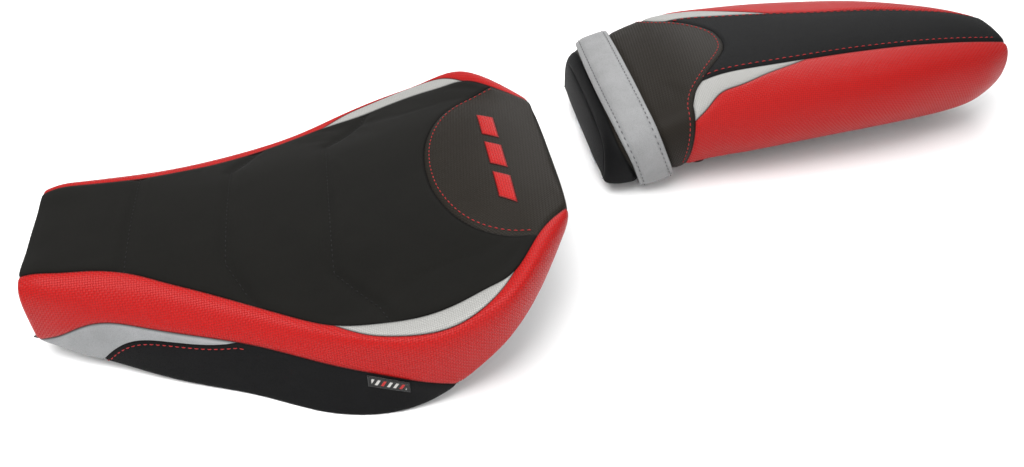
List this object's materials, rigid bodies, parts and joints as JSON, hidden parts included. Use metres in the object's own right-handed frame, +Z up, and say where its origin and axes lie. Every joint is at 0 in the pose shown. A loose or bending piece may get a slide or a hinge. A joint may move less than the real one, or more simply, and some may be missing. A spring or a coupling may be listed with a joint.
{
  "type": "motorcycle seat set",
  "caption": "Sport motorcycle seat set: a rider seat with a broad raised rear and a tapered pillion seat with a grab strap, both on moulded pans.",
  "frame": {"origin": "middle of the whole set's footprint, on the floor that both seats stand on", "axes": "+X towards the nose of both seats, +Y to the rider's left, +Z up"},
  "size_m": [0.877, 0.4071, 0.105],
  "materials": {
    "pan_plastic": "fine moulded grain",
    "moulded_foam": "moulded polyurethane foam skin",
    "black_suede": "matte brushed microfibre",
    "ribbed_charcoal_vinyl": "fine diagonal rib, satin",
    "black_grained_vinyl": "fine grain, satin",
    "red_embossed_vinyl": "small embossed basket weave, satin",
    "silver_woven_vinyl": "small embossed weave, satin",
    "silver_smooth_vinyl": "smooth satin",
    "grey_strap_vinyl": "fine grain, satin",
    "woven_tag": "woven ribbon",
    "staple_wire": "galvanised",
    "bumper_rubber": "matte",
    "insert_brass": "turned",
    "zinc_steel": "zinc plated"
  },
  "bodies": {
    "rider_seat": {"rider_base_pan": "pan_plastic", "rider_foam": "moulded_foam", "rider_centre_panel": "black_suede", "rider_hump_panel": "ribbed_charcoal_vinyl", "rider_nose_panel": "black_grained_vinyl", "rider_side_band_left": "red_embossed_vinyl", "rider_side_band_right": "red_embossed_vinyl", "rider_upper_insert_left": "silver_woven_vinyl", "rider_upper_insert_right": "silver_woven_vinyl", "rider_nose_insert_left": "silver_smooth_vinyl", "rider_nose_insert_right": "silver_smooth_vinyl", "rider_lower_side_left": "black_grained_vinyl", "rider_lower_side_right": "black_grained_vinyl", "rider_label_tag": "woven_tag", "rider_staples": "staple_wire", "rider_bumpers": "bumper_rubber", "rider_threaded_inserts": "insert_brass", "rider_front_tongue": "zinc_steel", "rider_tongue_rivets": "zinc_steel"},
    "pillion_seat": {"pillion_base_pan": "pan_plastic", "pillion_foam": "moulded_foam", "pillion_front_panel": "black_grained_vinyl", "pillion_wrap_panel": "ribbed_charcoal_vinyl", "pillion_centre_strip": "black_grained_vinyl", "pillion_side_left": "red_embossed_vinyl", "pillion_side_right": "red_embossed_vinyl", "pillion_insert_left": "silver_woven_vinyl", "pillion_insert_right": "silver_woven_vinyl", "grab_strap": "grey_strap_vinyl", "strap_screws": "zinc_steel", "strap_washers": "zinc_steel", "pillion_staples": "staple_wire", "pillion_bumpers": "bumper_rubber", "pillion_front_hooks": "zinc_steel", "pillion_hook_rivets": "zinc_steel", "pillion_lock_striker": "zinc_steel", "pillion_striker_rivets": "zinc_steel"}
  },
  "joints": [
    {"name": "pillion_lift", "type": "slide", "parent": "rider_seat", "child": "pillion_seat", "axis": [0, 0, 1], "range_m": [0, 0.15]}
  ]
}
